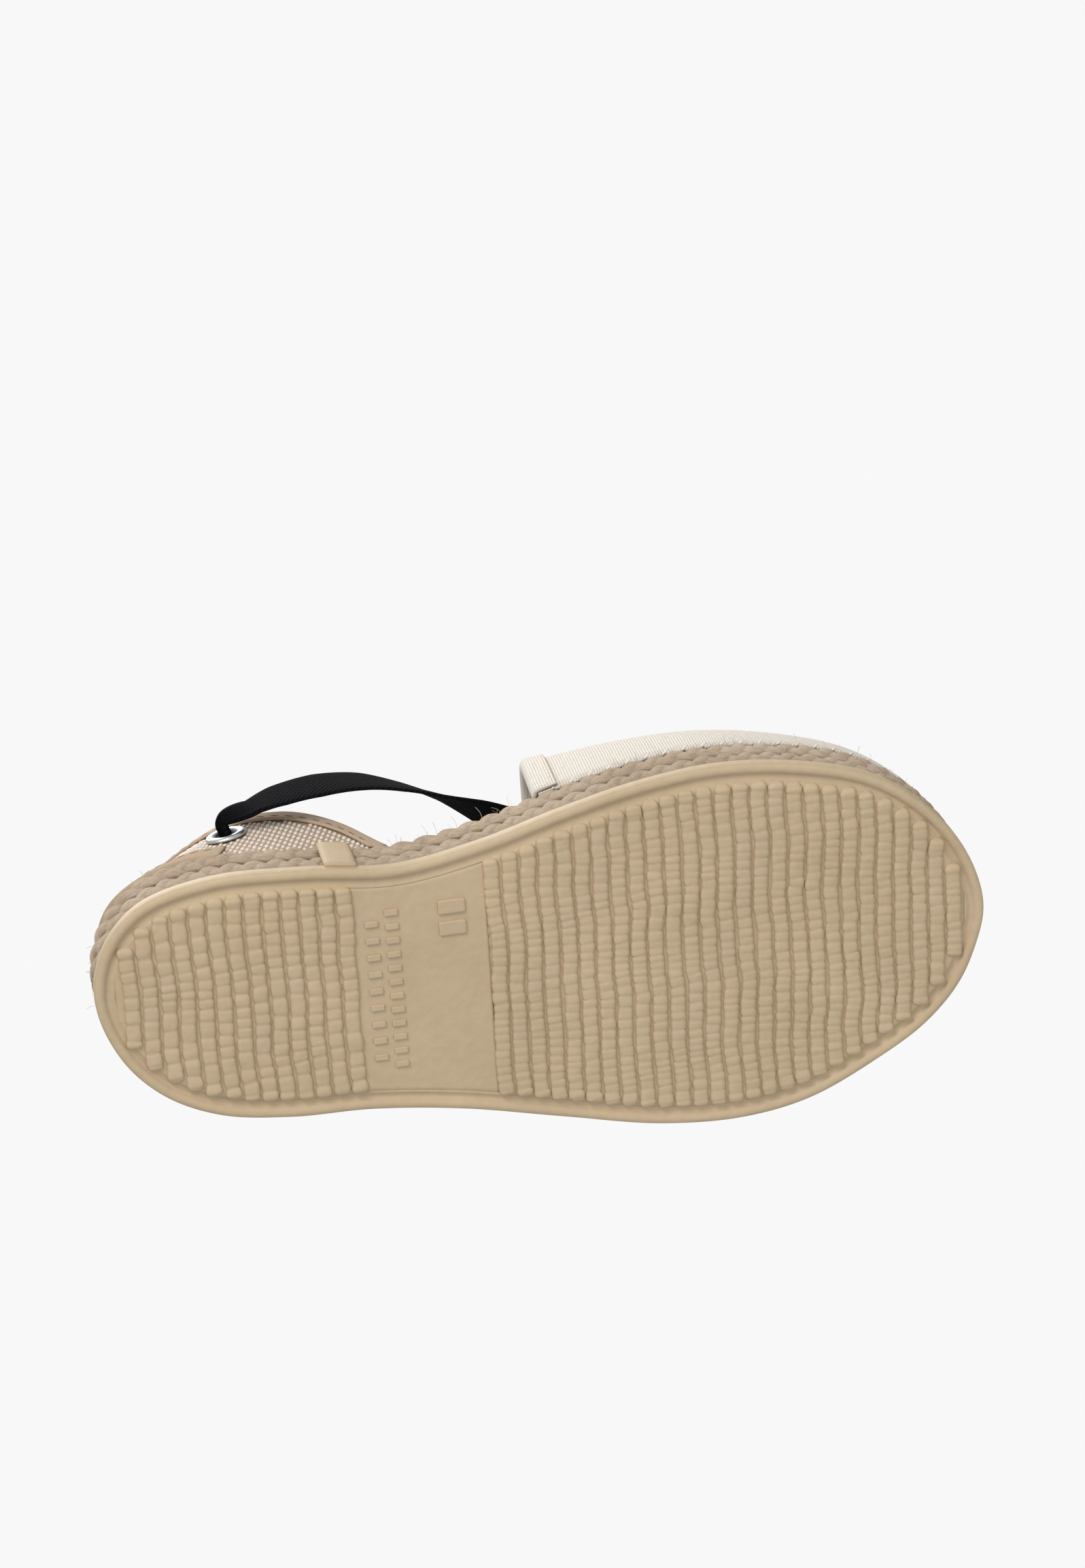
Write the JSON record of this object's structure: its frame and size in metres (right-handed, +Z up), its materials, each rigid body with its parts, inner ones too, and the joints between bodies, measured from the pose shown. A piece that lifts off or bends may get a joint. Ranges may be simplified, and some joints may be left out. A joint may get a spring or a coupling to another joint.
{
  "type": "espadrille sandal",
  "caption": "Child's flat espadrille sandal with ribbed rubber outsole, jute sole, canvas toe, woven heel strap and tie tapes.",
  "frame": {"origin": "middle of the footprint's bounding box, on the ground under the tread", "axes": "+Z up through the foot opening, -Y towards the toe, -X towards the inner (big toe) side of a left foot"},
  "size_m": [0.0798, 0.179, 0.0581],
  "materials": {
    "outsole_rubber": "matt moulded",
    "jute": "braided plant fibre",
    "cream_canvas": "plain weave canvas",
    "tan_lining": "fine plain weave",
    "woven_band": "coarse two-tone weave",
    "tan_binding": "folded cotton tape",
    "black_tape": "cotton twill tape",
    "eyelet_metal": "satin nickel",
    "sewing_thread": "waxed thread"
  },
  "bodies": {
    "root": {"rubber_outsole": "outsole_rubber", "side_tab": "outsole_rubber", "jute_core": "jute", "jute_braid_lower": "jute", "jute_braid_upper": "jute", "insole_sock": "cream_canvas", "vamp_canvas": "cream_canvas", "vamp_lining": "tan_lining", "throat_hem": "cream_canvas", "vamp_seam_thread": "sewing_thread", "strap_gusset_inner": "woven_band", "strap_gusset_outer": "woven_band", "tie_tape_inner": "black_tape", "tie_tape_outer": "black_tape"},
    "heel_strap": {"strap_band": "woven_band", "strap_lining": "tan_lining", "strap_top_binding": "tan_binding", "strap_low_binding": "tan_binding", "eyelet_inner": "eyelet_metal", "eyelet_outer": "eyelet_metal", "eyelet_washer_inner": "eyelet_metal", "eyelet_washer_outer": "eyelet_metal"}
  },
  "joints": [
    {"name": "heel_strap_fold", "type": "hinge", "parent": "root", "child": "heel_strap", "pos_m": [-0.00027, 0.05751, 0.01657], "axis": [1, 0, 0], "range_deg": [-10, 25], "deforming": ["strap_gusset_inner", "strap_gusset_outer", "tie_tape_inner", "tie_tape_outer"]}
  ]
}
